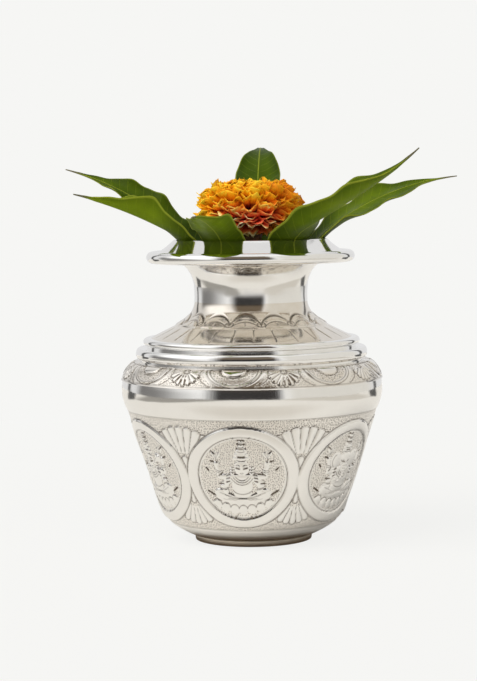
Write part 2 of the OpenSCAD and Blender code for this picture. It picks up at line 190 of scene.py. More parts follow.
class Wire:
    """One output of a node tree. Arithmetic on it adds Math nodes, and node() adds any other node."""

    def __init__(self, tree, socket=None):
        self.tree, self.socket = tree, socket

    def node(self, kind, settings=None, values=None, out=0):
        """Adds a node: its settings first, then a value or a link for each socket, by name or number."""
        made = self.tree.nodes.new("ShaderNode" + kind)
        for key, value in (settings or {}).items():
            setattr(made, key, value)
        for key, value in (values or {}).items():
            socket = made.inputs[key]
            if isinstance(value, Wire):
                self.tree.links.new(value.socket, socket)
            else:
                socket.default_value = (*value, 1.0) if socket.type == "RGBA" else value
        return Wire(self.tree, made.outputs[out] if made.outputs else None)

    def math(self, operation, a, b=0.0):
        return self.node("Math", {"operation": operation}, {0: a, 1: b})

    def __add__(self, other):
        return self.math("ADD", self, other)

    def __sub__(self, other):
        return self.math("SUBTRACT", self, other)

    def __rsub__(self, other):
        return self.math("SUBTRACT", other, self)

    def __mul__(self, other):
        return self.math("MULTIPLY", self, other)

    def __truediv__(self, other):
        return self.math("DIVIDE", self, other)

    def __abs__(self):
        return self.math("ABSOLUTE", self)

    __radd__ = __add__
    __rmul__ = __mul__

    def ease(self, low, high):
        """Smooth step from 0 at low to 1 at high."""
        return self.node("MapRange", {"interpolation_type": "SMOOTHSTEP"},
                         {"Value": self, "From Min": low, "From Max": high})

    def span(self, low, full, past, high):
        """1 from full to past, easing to 0 at low and at high."""
        return self.ease(low, full) * (1 - self.ease(past, high))

    def blend(self, a, b):
        """Colour a where this is 0 and b where it is 1."""
        return self.node("Mix", {"data_type": "RGBA"}, {0: self, 6: a, 7: b}, out=2)

    def ramp(self, *stops):
        """Colours along this number, from pairs of a place and a colour."""
        made = self.node("ValToRGB", values={"Fac": self})
        spots = made.socket.node.color_ramp.elements
        while len(spots) < len(stops):
            spots.new(1.0)
        for spot, (at, colour) in zip(spots, stops):
            spot.position = at
            spot.color = (*colour, 1.0)
        return made

    def split(self):
        """X, Y and Z of a vector."""
        made = self.node("SeparateXYZ", values={0: self})
        return [Wire(self.tree, out) for out in made.socket.node.outputs]

    def vector(self, operation, a, b=(0.0, 0.0, 0.0)):
        """A number worked out from two vectors, or from the first alone."""
        return self.node("VectorMath", {"operation": operation}, {0: a, 1: b}, out=1)

    def mark(self, name):
        """A mesh's own number, by its name."""
        return self.node("Attribute", {"attribute_name": name}, out=2)

    def noise(self, scale, detail=2.0, stretch=None):
        """Even noise from 0 to 1 on Object coordinates; scale is in cells to the metre."""
        place = self.node("TexCoord", out=3)
        if stretch:
            place = self.node("Mapping", values={"Vector": place, "Scale": stretch})
        return self.node("TexNoise", values={"Vector": place, "Scale": scale, "Detail": detail})

    def bump(self, height, strength=1.0):
        """Normal tilted by a height in millimetres."""
        return self.node("Bump", values={"Height": height, "Distance": MM, "Strength": strength})


def grey(value):
    """Grey as a colour."""
    return (value, value, value)


def emptied(owner):
    """The node tree of a material or a world, emptied, as a Wire to build on."""
    owner.use_nodes = True
    owner.node_tree.nodes.clear()
    return Wire(owner.node_tree)


def finish_of(name, look):
    """A material whose Principled shader gets the socket values that look(root) works out."""
    made = bpy.data.materials.new(name)
    root = emptied(made)
    shader = root.node("BsdfPrincipled", values=look(root))
    root.node("OutputMaterial", values={"Surface": shader})
    return made


def white_metal(name, roughness, sway, tone, warmth=0.0):
    """Bright silver-white metal: slow waves from the hammer, fine polishing marks, and tarnish in the chasing.
    The marks tarnish and stipple say where the chased lines and the punched ground are, and across and up place the
    punch marks, in millimetres. warmth is how far the whole surface turns yellow-brown; on the foot and the cone it
    stands in for painted shade and a painted reflection."""
    def look(root):
        waves, cloud = root.noise(60.0, 1.0), root.noise(170.0, 3.0)
        streaks = root.noise(900.0, 2.0, (1.0, 1.0, 0.12))
        tarnish, punched = root.mark("tarnish"), root.mark("stipple")
        place = root.node("CombineXYZ", values={0: root.mark("across"), 1: root.mark("up")})
        cells = root.node("TexVoronoi", {"voronoi_dimensions": "2D"},
                          {"Vector": place, "Scale": 1.0, "Randomness": 0.7})
        dots = (1 - cells.ease(0.10, 0.36)) * punched
        dark = (tarnish * (0.8 + cloud * 0.4) + dots * 0.34).ease(0.0, 1.0)
        body = (cloud * 0.7 + streaks * 0.3).blend(tone, [c * 0.93 for c in tone])
        warmed = (punched * 0.2 + cloud * warmth).blend(body, (0.72, 0.62, 0.49))
        return {
            "Base Color": dark.blend(warmed, (0.10, 0.072, 0.045)),
            "Metallic": 1.0,
            "Roughness": roughness + cloud * 0.04 + tarnish * 0.2 + punched * 0.10,
            "Normal": root.bump(waves * sway + streaks * 0.012 - dots * 0.22),
        }
    return finish_of(name, look)


def mango_leaf_look(root):
    """Leathery leaf: pale midrib and margin, faint side veins, painted shade towards the pot's lip, a blade darker
    towards its margins, and dry at the tip. The marks are along and side, in millimetres, rim from midrib to margin,
    under for the lower face, tip for the dry end, and one mark for each leaf, from dark to bright, that is partly
    the leaf's own tone and partly painted light and shade."""
    along, side, rim, under, tone_and_painted_light, tip = (
        root.mark(key) for key in ("along", "side", "rim", "under", "tone_and_painted_light", "tip"))
    cloud, grain = root.noise(45.0, 3.0), root.noise(1100.0, 2.0)
    across = abs(side)
    beat = (along - across * 0.75) / 5.6 + cloud * 0.35
    vein = abs(root.math("FRACT", beat) - 0.5).ease(0.44, 0.5) * rim.span(0.02, 0.2, 0.8, 0.98)
    midrib = 1 - across.ease(0.12, 0.55)
    margin = rim.ease(0.93, 0.99)
    patch = (cloud * 1.3 - 0.15).ease(0.1, 0.9)
    # dark and bright, and dark_back and bright_back, are one leaf green at two levels; the per-leaf blend between
    # them is partly the leaf's own tone and partly painted light and shade
    dark = patch.blend((0.022, 0.044, 0.001), (0.058, 0.098, 0.002))
    bright = patch.blend((0.090, 0.146, 0.002), (0.205, 0.285, 0.004))
    dark_back = patch.blend((0.056, 0.098, 0.002), (0.115, 0.168, 0.004))
    bright_back = patch.blend((0.112, 0.178, 0.003), (0.190, 0.268, 0.008))
    colour = under.blend(tone_and_painted_light.blend(dark, bright), tone_and_painted_light.blend(dark_back, bright_back))
    # near_lip is painted shade where the leaf meets the pot's lip; near_rim darkens the blade towards its margins
    near_lip, near_rim = (1 - along.ease(0, 22)) * 0.66, rim.ease(0.45, 1.0) * 0.4
    for amount, tint in (
        (1 - (1 - near_lip) * (1 - near_rim), (0.018, 0.036, 0.001)), (vein * 0.22, (0.24, 0.30, 0.015)),
        (midrib * 0.6, (0.30, 0.35, 0.03)), (margin * 0.5, (0.34, 0.38, 0.04)), (tip, (0.13, 0.11, 0.07)),
    ):
        colour = amount.blend(colour, tint)
    return {
        "Base Color": colour,
        "Roughness": 0.28 + under * 0.12 + cloud * 0.10,
        "Specular IOR Level": 0.05,
        "Normal": root.bump(grain * 0.03 + vein * 0.12 + midrib * 0.35 + root.noise(260.0, 2.0) * 0.16, 0.7),
    }


def petal_look(root):
    """Ruffled petal: dark red at its root, orange along its length and yellow at its edge. The marks are reach
    from root to edge, hue for each petal, deep where the red goes further out, and side across the petal."""
    reach, hue, deep, side = (root.mark(key) for key in ("reach", "hue", "deep", "side"))
    streak = root.noise(700.0, 2.0)
    spot = reach + (hue - 0.5) * 0.22 + (streak - 0.5) * 0.12
    gold = spot.ramp((0.0, (0.28, 0.022, 0.003)), (0.36, (0.62, 0.115, 0.003)), (0.62, (0.84, 0.28, 0.005)),
                     (0.84, (0.92, 0.44, 0.006)), (1.0, (0.98, 0.64, 0.03)))
    red = spot.ramp((0.0, (0.36, 0.020, 0.012)), (0.58, (0.76, 0.068, 0.042)), (0.80, (0.92, 0.150, 0.060)),
                    (0.91, (0.96, 0.46, 0.13)), (1.0, (1.0, 0.84, 0.48)))
    return {
        "Base Color": deep.blend(gold, red),
        "Roughness": 0.52 + abs(side) * 0.12,
        "Specular IOR Level": 0.2,
        "Normal": root.bump(root.noise(1500.0, 2.0, (1.0, 1.0, 0.3)) * 0.10 + streak * 0.12, 0.6),
    }


def fibrous(name, dark, pale, spotted):
    """Fibrous flesh of the flower's stalk: long streaks of two colours, with patches of a third."""
    def look(root):
        streak = root.noise(420.0, 3.0, (1.0, 1.0, 0.08))
        patch = root.noise(90.0, 2.0).ease(0.45, 0.7)
        body = streak.ease(0.3, 0.7).blend(dark, pale)
        return {
            "Base Color": (patch * 0.6).blend(body, spotted),
            "Roughness": 0.5 + streak * 0.15,
            "Normal": root.bump(streak * 0.3),
        }
    return finish_of(name, look)


polished = white_metal("polished_white_metal", 0.06, 0.10, (0.94, 0.93, 0.91))
satin = white_metal("satin_white_metal", 0.10, 0.24, (0.93, 0.915, 0.885))
chased = white_metal("chased_white_metal", 0.09, 0.15, (0.92, 0.905, 0.875))
# Darker, browner metal for the cone: a painted reflection, standing in for the brown room that the cone's middle
# mirrors
reflection_browned = white_metal("reflection_browned_white_metal", 0.09, 0.18, (0.85, 0.81, 0.75), 0.5)
worn = white_metal("worn_white_metal", 0.08, 0.14, (0.93, 0.90, 0.85), 0.35)
# Dark brown metal for the foot: painted shade, standing in for the shadowed floor that the foot mirrors under the
# pot
shade_darkened = white_metal("shade_darkened_white_metal", 0.12, 0.10, (0.62, 0.56, 0.48), 0.5)
leaf_finish = finish_of("mango_leaf", mango_leaf_look)
petal_finish = finish_of("marigold_petal", petal_look)
stem_finish = fibrous("marigold_stem", (0.06, 0.12, 0.02), (0.16, 0.24, 0.05), (0.12, 0.08, 0.03))
calyx_finish = fibrous("marigold_calyx", (0.10, 0.03, 0.012), (0.21, 0.075, 0.02), (0.10, 0.12, 0.02))


# The pot: radii and heights of its outline, as in the part, and the slight bends that only the scene has

SHEET = 1.2
SEAM_R, CROWN_W, FLANK_W, TURN_W = 70.8, 3.8, 17.0, 17.5
FOOT_H, TURN_H, FLANK_H, CROWN_H, TURN_RISE = 3.0, 14.0, 52.0, 18.5, 0.42
SHOULDER_H, LOWER_H, UPPER_H, CONE_H, WAIST_H, FLARE_H, COVER_H = 9.5, 7.4, 5.2, 19.4, 8.0, 14.9, 9.3
FLANK_HIGH_R = SEAM_R - CROWN_W
FLANK_LOW_R = FLANK_HIGH_R - FLANK_W
BASE_R = FLANK_LOW_R - TURN_W
TURN_Z = FOOT_H + TURN_H
FLANK_Z = TURN_Z + FLANK_H
EDGE_Z = FLANK_Z + CROWN_H
SHELF_Z = EDGE_Z + SHOULDER_H
LOWER_TOP_Z = SHELF_Z + LOWER_H
UPPER_TOP_Z = LOWER_TOP_Z + UPPER_H
CONE_TOP_Z = UPPER_TOP_Z + CONE_H
WAIST_TOP_Z = CONE_TOP_Z + WAIST_H
FLANGE_Z = WAIST_TOP_Z + FLARE_H + SHEET
LIP_Z = FLANGE_Z + COVER_H
SHOULDER_TOP_R, LOWER_R, UPPER_R, CONE_R, NECK_R = 63.5, 62.5, 58.5, 54.2, 30.5
BULGE, RING_T, LEDGE, GROOVE_H = 1.8, 3.0, 1.0, 1.4
RIM_R, ROLL_R, ROLL_CUT, LIP_R, LIP_EDGE_R = 56.2, 3.1, 0.68, 41.0, 1.0
ROLL_C = RIM_R - ROLL_R
FLANGE_R = ROLL_C - ROLL_CUT * ROLL_R
ROLL_FLAT = np.arccos(-ROLL_CUT)
TURN_IN, TURN_IN_H, CROWN_EASE, CROWN_UPRIGHT = 0.9, 9.0, 4.75, 12.0
NECK_SWELL, NECK_FOOT = 0.5, 0.12

# Medallions on the belly: count, direction of the front one, frame radii and the tilt of the flank
MEDALLIONS, FRONT = 6, 264.0
PITCH = 360 / MEDALLIONS
FRAME_OUT, FRAME_IN, FRAME_UP = 29.0, 23.4, 0.6
SLOPE = FLANK_W / FLANK_H
LEAN = np.arctan(SLOPE)
MID_Z = FOOT_H + 37.5
MID_R = FLANK_LOW_R + SLOPE * (MID_Z - TURN_Z)

# Chasing: height of the belly's field, sectors of the shoulder, petals of the cone, width of a chased edge
FIELD_LOW_Z, FIELD_TOP_Z = 11.0, 71.2
SHOULDER_FRONT, SHOULDER_PITCH, SHOULDER_TOP = 261.5, 45.0, 11.6
CONE_PETALS, CONE_FRONT = 14, 277.6
SOFT = 0.5


def inner_side(outer, step):
    """Every step-th point of the sheet's inner side, walked back from the end of its outer side."""
    return (outer - SHEET * outward(outer))[::-1][::step]


def chased_round(profile, first, chasing, front, pitch):
    """Points and marks of a profile carried round, with chasing on its rows from first on. chasing is height,
    tarnish and stipple. The punch marks are mirrored in sectors of one pitch, of which one faces front."""
    rows, cols = chasing[0].shape
    relief, tarnish, stipple = np.zeros((3, len(profile), cols))
    for values, shown in zip((relief, tarnish, stipple), chasing):
        values[first:first + rows] = shown
    turn = turns(cols)
    across = radians(np.abs(wrapped(turn - front, pitch))) * profile[:, :1]
    marks = {"tarnish": tarnish, "stipple": stipple, "across": across, "up": profile[:, 1:] + 0 * turn}
    return carried_round(profile, cols, relief), marks


def pot_ring(name, node, points, metal, marks=None, crease=50):
    """A piece of the pot whose profile closes on itself."""
    piece(name, points.reshape(-1, 3), [skin(*points.shape[:2], True)], metal, "pot", [node],
          marks, crease)


def on_medallion(r, turn, z):
    """Place across and up the flat that faces a medallion squarely, from radius, angle off its middle and height."""
    a = radians(turn)
    return r * sin(a), (r * cos(a) - MID_R) * sin(LEAN) + (z - MID_Z) * cos(LEAN)


def shell_fan(x, y, low, high, ribs, spread):
    """A fan of ribs round a point: ridges |cos| of the angle between two radii, with rounded outer ends.
    Returns its mask, its height and its cut lines."""
    radius, angle = np.hypot(x, y), np.degrees(np.arctan2(x, y))
    rib = np.abs(cos(pi * angle * ribs / (2 * spread)))
    end = high - 1.6 + 1.6 * np.sqrt(rib)
    beside = smooth((spread - np.abs(angle)) * radius / 30)
    mask = smooth((radius - low) / SOFT) * smooth((end - radius) / SOFT) * beside
    lines = mask * bell(rib, 0.34) + bell(radius - end, 0.35) * (np.abs(angle) < spread)
    return mask, mask * 0.42 * rib ** 0.6, lines


def belly_relief(r, z, turn):
    """Height of the chasing on the belly over its turned shape: ring frames, fans between them, a sunk ground
    with a border line above and below. Returns height, tarnish and stipple."""
    rho = np.hypot(*on_medallion(r, wrapped(turn - FRONT, PITCH), z))
    frame_band = smooth((rho - FRAME_IN) / SOFT) * smooth((FRAME_OUT - rho) / SOFT)
    crown = 1 - 0.35 * ((rho - (FRAME_IN + FRAME_OUT) / 2) / 2.8) ** 2
    edges = bell(rho - FRAME_OUT - 0.35, 0.42) + bell(rho - FRAME_IN + 0.25, 0.4)
    outside = smooth((rho - FRAME_OUT - 0.5) / SOFT)
    field = smooth((FIELD_TOP_Z - z) / SOFT) * smooth((z - FIELD_LOW_Z) / SOFT) * outside
    sunk = smooth((FRAME_IN - 0.9 - rho) / SOFT)
    fx, fy = on_medallion(r, wrapped(turn - FRONT - PITCH / 2, PITCH), z)
    fans, fan_height, lines = np.zeros((3, *rho.shape))
    for centre, up, low, high, ribs, spread in (
        (4.0, 1, 9.0, 24.5, 7, 46.0), (2.0, 1, 2.0, 9.6, 3, 40.0),
        (-11.0, -1, 6.2, 17.0, 8, 56.0), (-7.0, -1, 1.0, 8.4, 3, 34.0),
    ):
        mask, rise, cut = shell_fan(fx, up * (fy - centre), low, high, ribs, spread)
        fans = np.maximum(fans, mask)
        fan_height = np.maximum(fan_height, rise)
        lines = np.maximum(lines, cut)
    ground = field * (1 - fans)
    lines = lines * field
    borders = bell(z - FIELD_TOP_Z, 0.45) * outside + bell(z - FIELD_LOW_Z, 0.45) * outside
    height = FRAME_UP * frame_band * crown - 0.6 * sunk
    height = height + field * (fan_height - 0.22) - 0.3 * (edges + lines) - 0.2 * borders
    tarnish = held(0.75 * edges + 0.62 * lines + 0.5 * borders + 0.05 * ground)
    return height, tarnish, ground


def make_belly():
    """Belly: underside, rounded bottom, straight flank, a curve to the shoulder edge that turns in a little at
    its top by TURN_IN * t^2, then the inner side down."""
    turn_run = (TURN_W - SLOPE * TURN_H) / (1 - SLOPE * TURN_RISE)
    start, end = np.array([BASE_R, FOOT_H]), np.array([FLANK_LOW_R, TURN_Z])
    outer = joined(
        bezier([start, start + turn_run * np.array([1, TURN_RISE]), end], 24),
        straight(end, [FLANK_HIGH_R, FLANK_Z], 84),
        bezier([[FLANK_HIGH_R, FLANK_Z], [FLANK_HIGH_R + SLOPE * CROWN_EASE, FLANK_Z + CROWN_EASE],
                [SEAM_R, EDGE_Z - CROWN_UPRIGHT], [SEAM_R, EDGE_Z]], 22),
    )
    outer[:, 0] -= TURN_IN * held((outer[:, 1] - EDGE_Z) / TURN_IN_H + 1) ** 2
    inner = inner_side(outer, 8)
    inner[0] = [SEAM_R - SHEET, EDGE_Z]
    centre_r = 0.4
    under = straight([centre_r, FOOT_H], start, 3)[:-1]
    floor = straight([inner[-1][0], FOOT_H + SHEET], [centre_r, FOOT_H + SHEET], 3)
    profile = np.concatenate([under, outer, inner, floor])
    chasing = belly_relief(outer[:, :1], outer[:, 1:], turns(620))
    points, marks = chased_round(profile, len(under), chasing, FRONT, PITCH)
    points, faces = capped(points)
    piece("belly", points, faces, chased, "pot", ["belly_bowl"], with_caps(marks), 50)


# Chased figures, in millimetres from the middle of a medallion

FINE = 0.24


class Chasing:
    """Rounded shapes laid over each other, of which the highest shows, and lines cut into them."""

    def __init__(self, x, y):
        self.x, self.y = x, y
        self.height, self.lines = np.zeros((2, *x.shape))

    def dome(self, middle, radii, height, turn=0.0):
        """Rounded bump: height * (1 - q)^0.7 inside the ellipse q = 1."""
        a = radians(turn)
        u, v = self.x - middle[0], self.y - middle[1]
        along, over = u * cos(a) + v * sin(a), v * cos(a) - u * sin(a)
        q = (along / radii[0]) ** 2 + (over / radii[1]) ** 2
        self.height = np.maximum(self.height, height * held(1 - q) ** 0.7)

    def runs(self, path, widths):
        """For each straight run of a path: the distance of every point from it, and its width there."""
        for (ax, ay), (bx, by), wa, wb in zip(path, path[1:], widths, widths[1:]):
            dx, dy = bx - ax, by - ay
            t = held(((self.x - ax) * dx + (self.y - ay) * dy) / (dx * dx + dy * dy))
            yield np.hypot(self.x - ax - t * dx, self.y - ay - t * dy), mix(wa, wb, t)

    def limb(self, path, widths, height):
        """Rounded strip along a path: its section is (1 - q^2)^0.7, and its width changes evenly."""
        for d, w in self.runs(path, widths):
            self.height = np.maximum(self.height, height * held(1 - (d / w) ** 2) ** 0.7)

    def cut(self, path, width=0.32, depth=1.0):
        """Line cut along a path: depth on it, fading as a bell to both sides."""
        for d, _ in self.runs(path, [1] * len(path)):
            self.lines = np.maximum(self.lines, depth * bell(d, width))


def bow(middle, radius, start, end, n=9, flat=1.0):
    """n points on an arc, from angle start to angle end in degrees, flattened up and down by flat."""
    a = radians(np.linspace(start, end, n))
    return np.asarray(middle) + np.array([radius, flat * radius]) * ray(a)


def both(path):
    """A path and its mirror image."""
    path = np.asarray(path, float)
    return [path, path * [-1, 1]]


def lotus_seat(on):
    """Seat of lotus petals under a figure, with crossed legs on it."""
    on.dome((0, -15.2), (15.0, 2.6), 0.40)
    for k in range(-3, 4):
        x, y, tilt = 4.5 * k, -18.2 + 0.30 * k * k, 6 * k
        on.dome((x, y), (2.5, 3.1), 0.55, tilt)
        on.cut(bow((x, y - 0.4), 2.4, 20 + tilt, 160 + tilt, flat=1.3))
    for leg in both([(-11.6, -10.0), (-5.0, -12.6), (3.4, -13.2), (7.0, -13.0)]):
        on.limb(leg, [3.2, 3.1, 2.1, 1.3], 0.95)
        on.cut(leg + [0, 1.7], depth=0.7)
    for knee in both([(-11.4, -9.6), (-11.2, -9.6)]):
        on.limb(knee, [3.5, 3.5], 1.0)
    for fold in (4.2, 6.4, 8.6):
        for path in both(bow((fold, -9.6), 2.6, 215, 300, 7)):
            on.cut(path, depth=0.6)


def torso(on, broad):
    """Chest, waist and shoulders, with rows of necklaces."""
    on.dome((0, -3.6), (broad, 7.2), 0.98)
    on.dome((0, -8.2), (broad * 0.92, 3.6), 0.9)
    on.limb([(-6.4, 0.2), (6.4, 0.2)], [2.7, 2.7], 0.92)
    for radius in (3.6, 4.8, 6.1):
        on.cut(bow((0, 2.6), radius, 205, 335, 11), 0.28)
    on.cut(bow((0, -5.6), 5.6, 215, 325, flat=0.6), 0.3)


def raised_arms(on):
    """Two pairs of arms: one raised with a flower bud in each hand, one bent down to the knees."""
    ups = both([(6.4, 0.6), (11.4, 0.4), (13.4, 7.6)])
    downs = both([(6.2, 0.4), (9.6, -4.6), (8.6, -8.2)])
    for up, down in zip(ups, downs):
        on.limb(up, [2.1, 1.7, 1.2], 0.75)
        on.limb(down, [2.1, 1.9, 1.3], 0.90)
        on.dome(up[-1], (1.5, 1.6), 0.85)
        bud = up[-1] + [0, 4.2]
        for tilt in (-34, 0, 34):
            lean = radians(tilt)
            middle = bud + [1.6 * sin(lean), 0.8 * cos(lean)]
            on.dome(middle, (1.1, 2.3), 0.62, -tilt)
            on.cut([bud - [0, 1.4], middle + [1.1 * sin(lean), 1.5]], FINE, 0.8)
        for at in (0.35, 0.5):
            for arm, half in ((up, [1.5, -0.35]), (down, [1.6, 0.2])):
                spot = mix(arm[1], arm[2], at)
                on.cut([spot - half, spot + half], FINE)


def calm_head(on):
    """Oval head with a calm, even face: brows, half-closed eyes, a short nose and a small mouth; locks beside it."""
    on.dome((0, 5.9), (4.0, 5.0), 1.15)
    on.limb([(0, 7.0), (0, 5.1)], [0.45, 0.85], 1.32)
    on.dome((0, 3.35), (1.3, 0.55), 1.28)
    on.cut(bow((0, 4.3), 1.5, 240, 300, 5), FINE)
    for k in (-1, 1):
        on.dome((1.75 * k, 6.55), (1.15, 0.55), 1.26)
        on.cut(bow((1.8 * k, 6.0), 1.5, 50, 130, 6, 1.25), 0.26)
        on.cut(bow((1.75 * k, 7.1), 1.15, 220, 320, 6, 0.7), 0.22, 0.9)
        for drop in 1.5 * np.arange(5):
            on.dome((5.1 * k, 5.6 - drop), (1.2, 0.8), 0.7)
            on.cut([(4.2 * k, 4.9 - drop), (6.1 * k, 4.7 - drop)], FINE, 0.8)


def trunked_head(on):
    """Elephant's head: wide ears, a domed brow and a ringed trunk that curls to one side."""
    trunk = np.array([(0, 6.4), (0.5, 2.0), (0.2, -1.8), (-1.8, -4.8), (-4.8, -5.4), (-5.8, -3.4)])
    on.dome((0, 7.4), (5.0, 4.6), 1.1)
    on.limb(trunk, [2.7, 2.2, 1.9, 1.6, 1.3, 1.0], 1.28)
    for k in (-1, 1):
        on.dome((7.6 * k, 6.4), (4.2, 5.2), 0.6, -12 * k)
        on.limb([(2.4 * k, 3.6), (5.2 * k, 0.8)], [0.9, 0.5], 1.0)
        outwards = 90 - 90 * k
        on.cut(bow((7.4 * k, 6.4), 3.0, outwards - 70, outwards + 70, flat=1.25), depth=0.8)
        on.cut(bow((2.7 * k, 7.0), 1.0, 200, 340, 6), 0.26)
    for step in np.linspace(0.25, 4.4, 11):
        here, there = trunk[int(step)], trunk[int(step) + 1]
        way, spot = there - here, mix(here, there, step % 1)
        over = np.array([-way[1], way[0]]) / np.hypot(*way) * (1.9 - 0.22 * step)
        on.cut([spot - over, spot + over], FINE, 0.7)


def tiered_crown(on, foot):
    """Tall crown of five shrinking tiers with a knob, and a cut line under each tier."""
    for k, share in enumerate((1.0, 0.84, 0.66, 0.48, 0.30)):
        y, half = foot + 1.95 * k, 4.6 * share
        on.dome((0, y), (half, 1.75), 0.95)
        on.cut(bow((0, y + 2.2), half * 1.02, 238, 302, 7, 0.75), 0.30)
    on.dome((0, foot + 9.4), (1.0, 1.3), 0.85)


def long_lute(on):
    """Long-necked lute across the body: a straight neck, a gourd near each end, and frets."""
    neck, low_gourd = np.array([(-12.0, -7.0), (11.0, 9.0)]), (-10.6, -6.2)
    on.limb(neck, [0.95, 0.95], 1.25)
    on.dome(low_gourd, (4.0, 4.0), 1.15)
    on.dome((9.6, 8.2), (2.8, 2.8), 1.0)
    for at in np.linspace(0.3, 0.8, 8):
        spot = mix(*neck, at)
        on.cut([spot + [-0.6, 0.85], spot + [0.6, -0.85]], FINE)
    on.cut(bow(low_gourd, 2.6, 0, 360, 17), 0.28)


def tool_strokes(on):
    """Short dark strokes of the chasing tool: on the crown, the buds, the hands, the knees and the seat."""
    strokes = [[(-1.7, 21.6), (1.5, 21.4)], [(-2.0, 19.4), (1.9, 19.3)], [(-2.3, 16.9), (2.2, 16.8)],
               [(-1.5, 12.4), (1.6, 12.3)], [(-2.9, 6.0), (-1.0, 5.7)], [(1.1, 5.7), (3.0, 6.1)]]
    for path in ([(14.0, 13.4), (18.2, 16.0)], [(14.8, 8.6), (16.4, 8.9)], [(10.2, 2.8), (12.0, 1.2)],
                 [(6.2, 2.2), (7.6, 1.6)], [(6.4, 0.4), (7.8, -0.1)], [(6.5, -1.6), (7.9, -2.0)],
                 [(9.6, -3.2), (11.6, -3.6)], [(14.6, -10.6), (18.2, -8.6)], [(17.6, 3.4), (18.8, 4.6)]):
        strokes += both(path)
    for path in strokes:
        on.cut(path, 0.42, 1.25)


def figure_relief(x, y, kind):
    """A seated figure on a medallion: 0 with flower buds, 1 with an elephant's head, 2 with a long lute.
    Where parts overlap, the highest one shows. Returns height, cut lines and the bare ground."""
    trunked = kind == 1
    parts = [(lotus_seat,), (torso, 7.4 if trunked else 5.4), (raised_arms,),
             (trunked_head if trunked else calm_head,), (tiered_crown, 12.2 if trunked else 11.2)]
    if kind == 2:
        parts.append((long_lute,))
    height, lines = np.zeros((2, *x.shape))
    for make, *size in parts:
        part = Chasing(x, y)
        make(part, *size)
        kept = np.maximum(lines, part.lines * (part.height + 0.05 >= height))
        lines = np.where(part.height > height + 0.02, part.lines, kept)
        height = np.maximum(height, part.height)
    strokes = Chasing(x, y)
    tool_strokes(strokes)
    return height, np.maximum(lines, strokes.lines), 1 - smooth(height / 0.12)


def make_medallion(index):
    """A medallion's chased disc: rings from its middle to its edge, then back behind it inside the sheet. Each
    point lies on the flank's cone, which is found by repeated correction, and moves along the cone's normal."""
    shown, cols = 92, 324
    face, back = np.linspace(0.2, FRAME_IN - 0.35, shown), [FRAME_IN - 0.1, FRAME_IN + 0.1, FRAME_IN, 10.0, 0.2]
    rho = np.concatenate([face, back])[:, None]
    a = radians(turns(cols))
    x, y = rho * cos(a), rho * sin(a)
    rise, lines, ground = figure_relief(x[:shown], y[:shown], index % 3)
    rim = smooth((FRAME_IN - 0.5 - rho[:shown]) / 1.5)
    height = np.full(x.shape, -0.9)
    height[:shown] = -0.28 + (rise - 0.26 * lines) * rim
    height[shown], height[shown + 1] = -0.4, -0.7
    step = np.gradient(height[:shown], face, axis=0)
    hollow = smooth((0.10 - rise) / 0.1) * smooth(np.abs(step) / 0.6)
    tarnish, stipple = np.zeros((2, *x.shape))
    tarnish[:shown] = held(0.68 * lines + 0.22 * hollow + 0.05 * ground) * rim
    stipple[:shown] = ground * rim
    z = np.full(x.shape, MID_Z)
    for _ in range(40):
        r = MID_R + SLOPE * (z - MID_Z)
        z = MID_Z + (y - (np.sqrt(r * r - x * x) - MID_R) * sin(LEAN)) / cos(LEAN)
    r = MID_R + SLOPE * (z - MID_Z)
    turn = np.arcsin(x / r) + radians(FRONT + index * PITCH)
    r, z = r + height * cos(LEAN), z - height * sin(LEAN)
    points, faces = capped(np.stack([r * cos(turn), r * sin(turn), z], -1), True)
    marks = with_caps({"tarnish": tarnish, "stipple": stipple, "across": x, "up": y})
    piece(f"medallion_{index + 1}", points, faces, chased, "pot", (), marks)


def shoulder_relief(b, turn):
    """Chasing on the shoulder band, from the distance b up its slope and the angle: half medallions that hang
    from the top, a palmette between each two, and a border line. Returns height, tarnish and stipple."""
    mean_r, top = 67.5, SHOULDER_TOP
    a = radians(wrapped(turn - SHOULDER_FRONT, SHOULDER_PITCH)) * mean_r
    q = np.hypot(a / 14.6, (b - top) / 10.4)
    inside = smooth((0.84 - q) / 0.05)
    tongue = smooth((0.46 - q) / 0.05)
    arcs = bell(q - 1.0, 0.036) + bell(q - 0.88, 0.03) + 0.8 * bell(q - 0.5, 0.035)
    rim = smooth((1.0 - q) / 0.04) * smooth((q - 0.86) / 0.04)
    px = radians(wrapped(turn - SHOULDER_FRONT - SHOULDER_PITCH / 2, SHOULDER_PITCH)) * mean_r
    mask, rise, cuts = shell_fan(px, top - 0.8 - b, 2.6, 9.6, 7, 74.0)
    free = smooth((q - 1.12) / 0.05)
    sweep = bell(q - 1.22 - 0.10 * sin(pi * held((top - b) / top)), 0.03) * (b > 1.2)
    eye = bell(np.hypot(px, top - 1.2 - b) - 1.6, 0.4)
    borders = bell(b - 0.8, 0.35) + bell(b - top - 0.4, 0.3)
    lines = held(arcs + (cuts + eye) * free + 0.8 * sweep + borders)
    height = 0.35 * rim + 0.28 * tongue + 0.9 * rise * free - 0.18 * inside * (1 - tongue) - 0.3 * lines
    ground = held(inside * (1 - tongue) + 0.55 * free * (1 - mask) * smooth((b - 1.2) / 0.4))
    return height, held(0.62 * lines + 0.10 * ground), ground


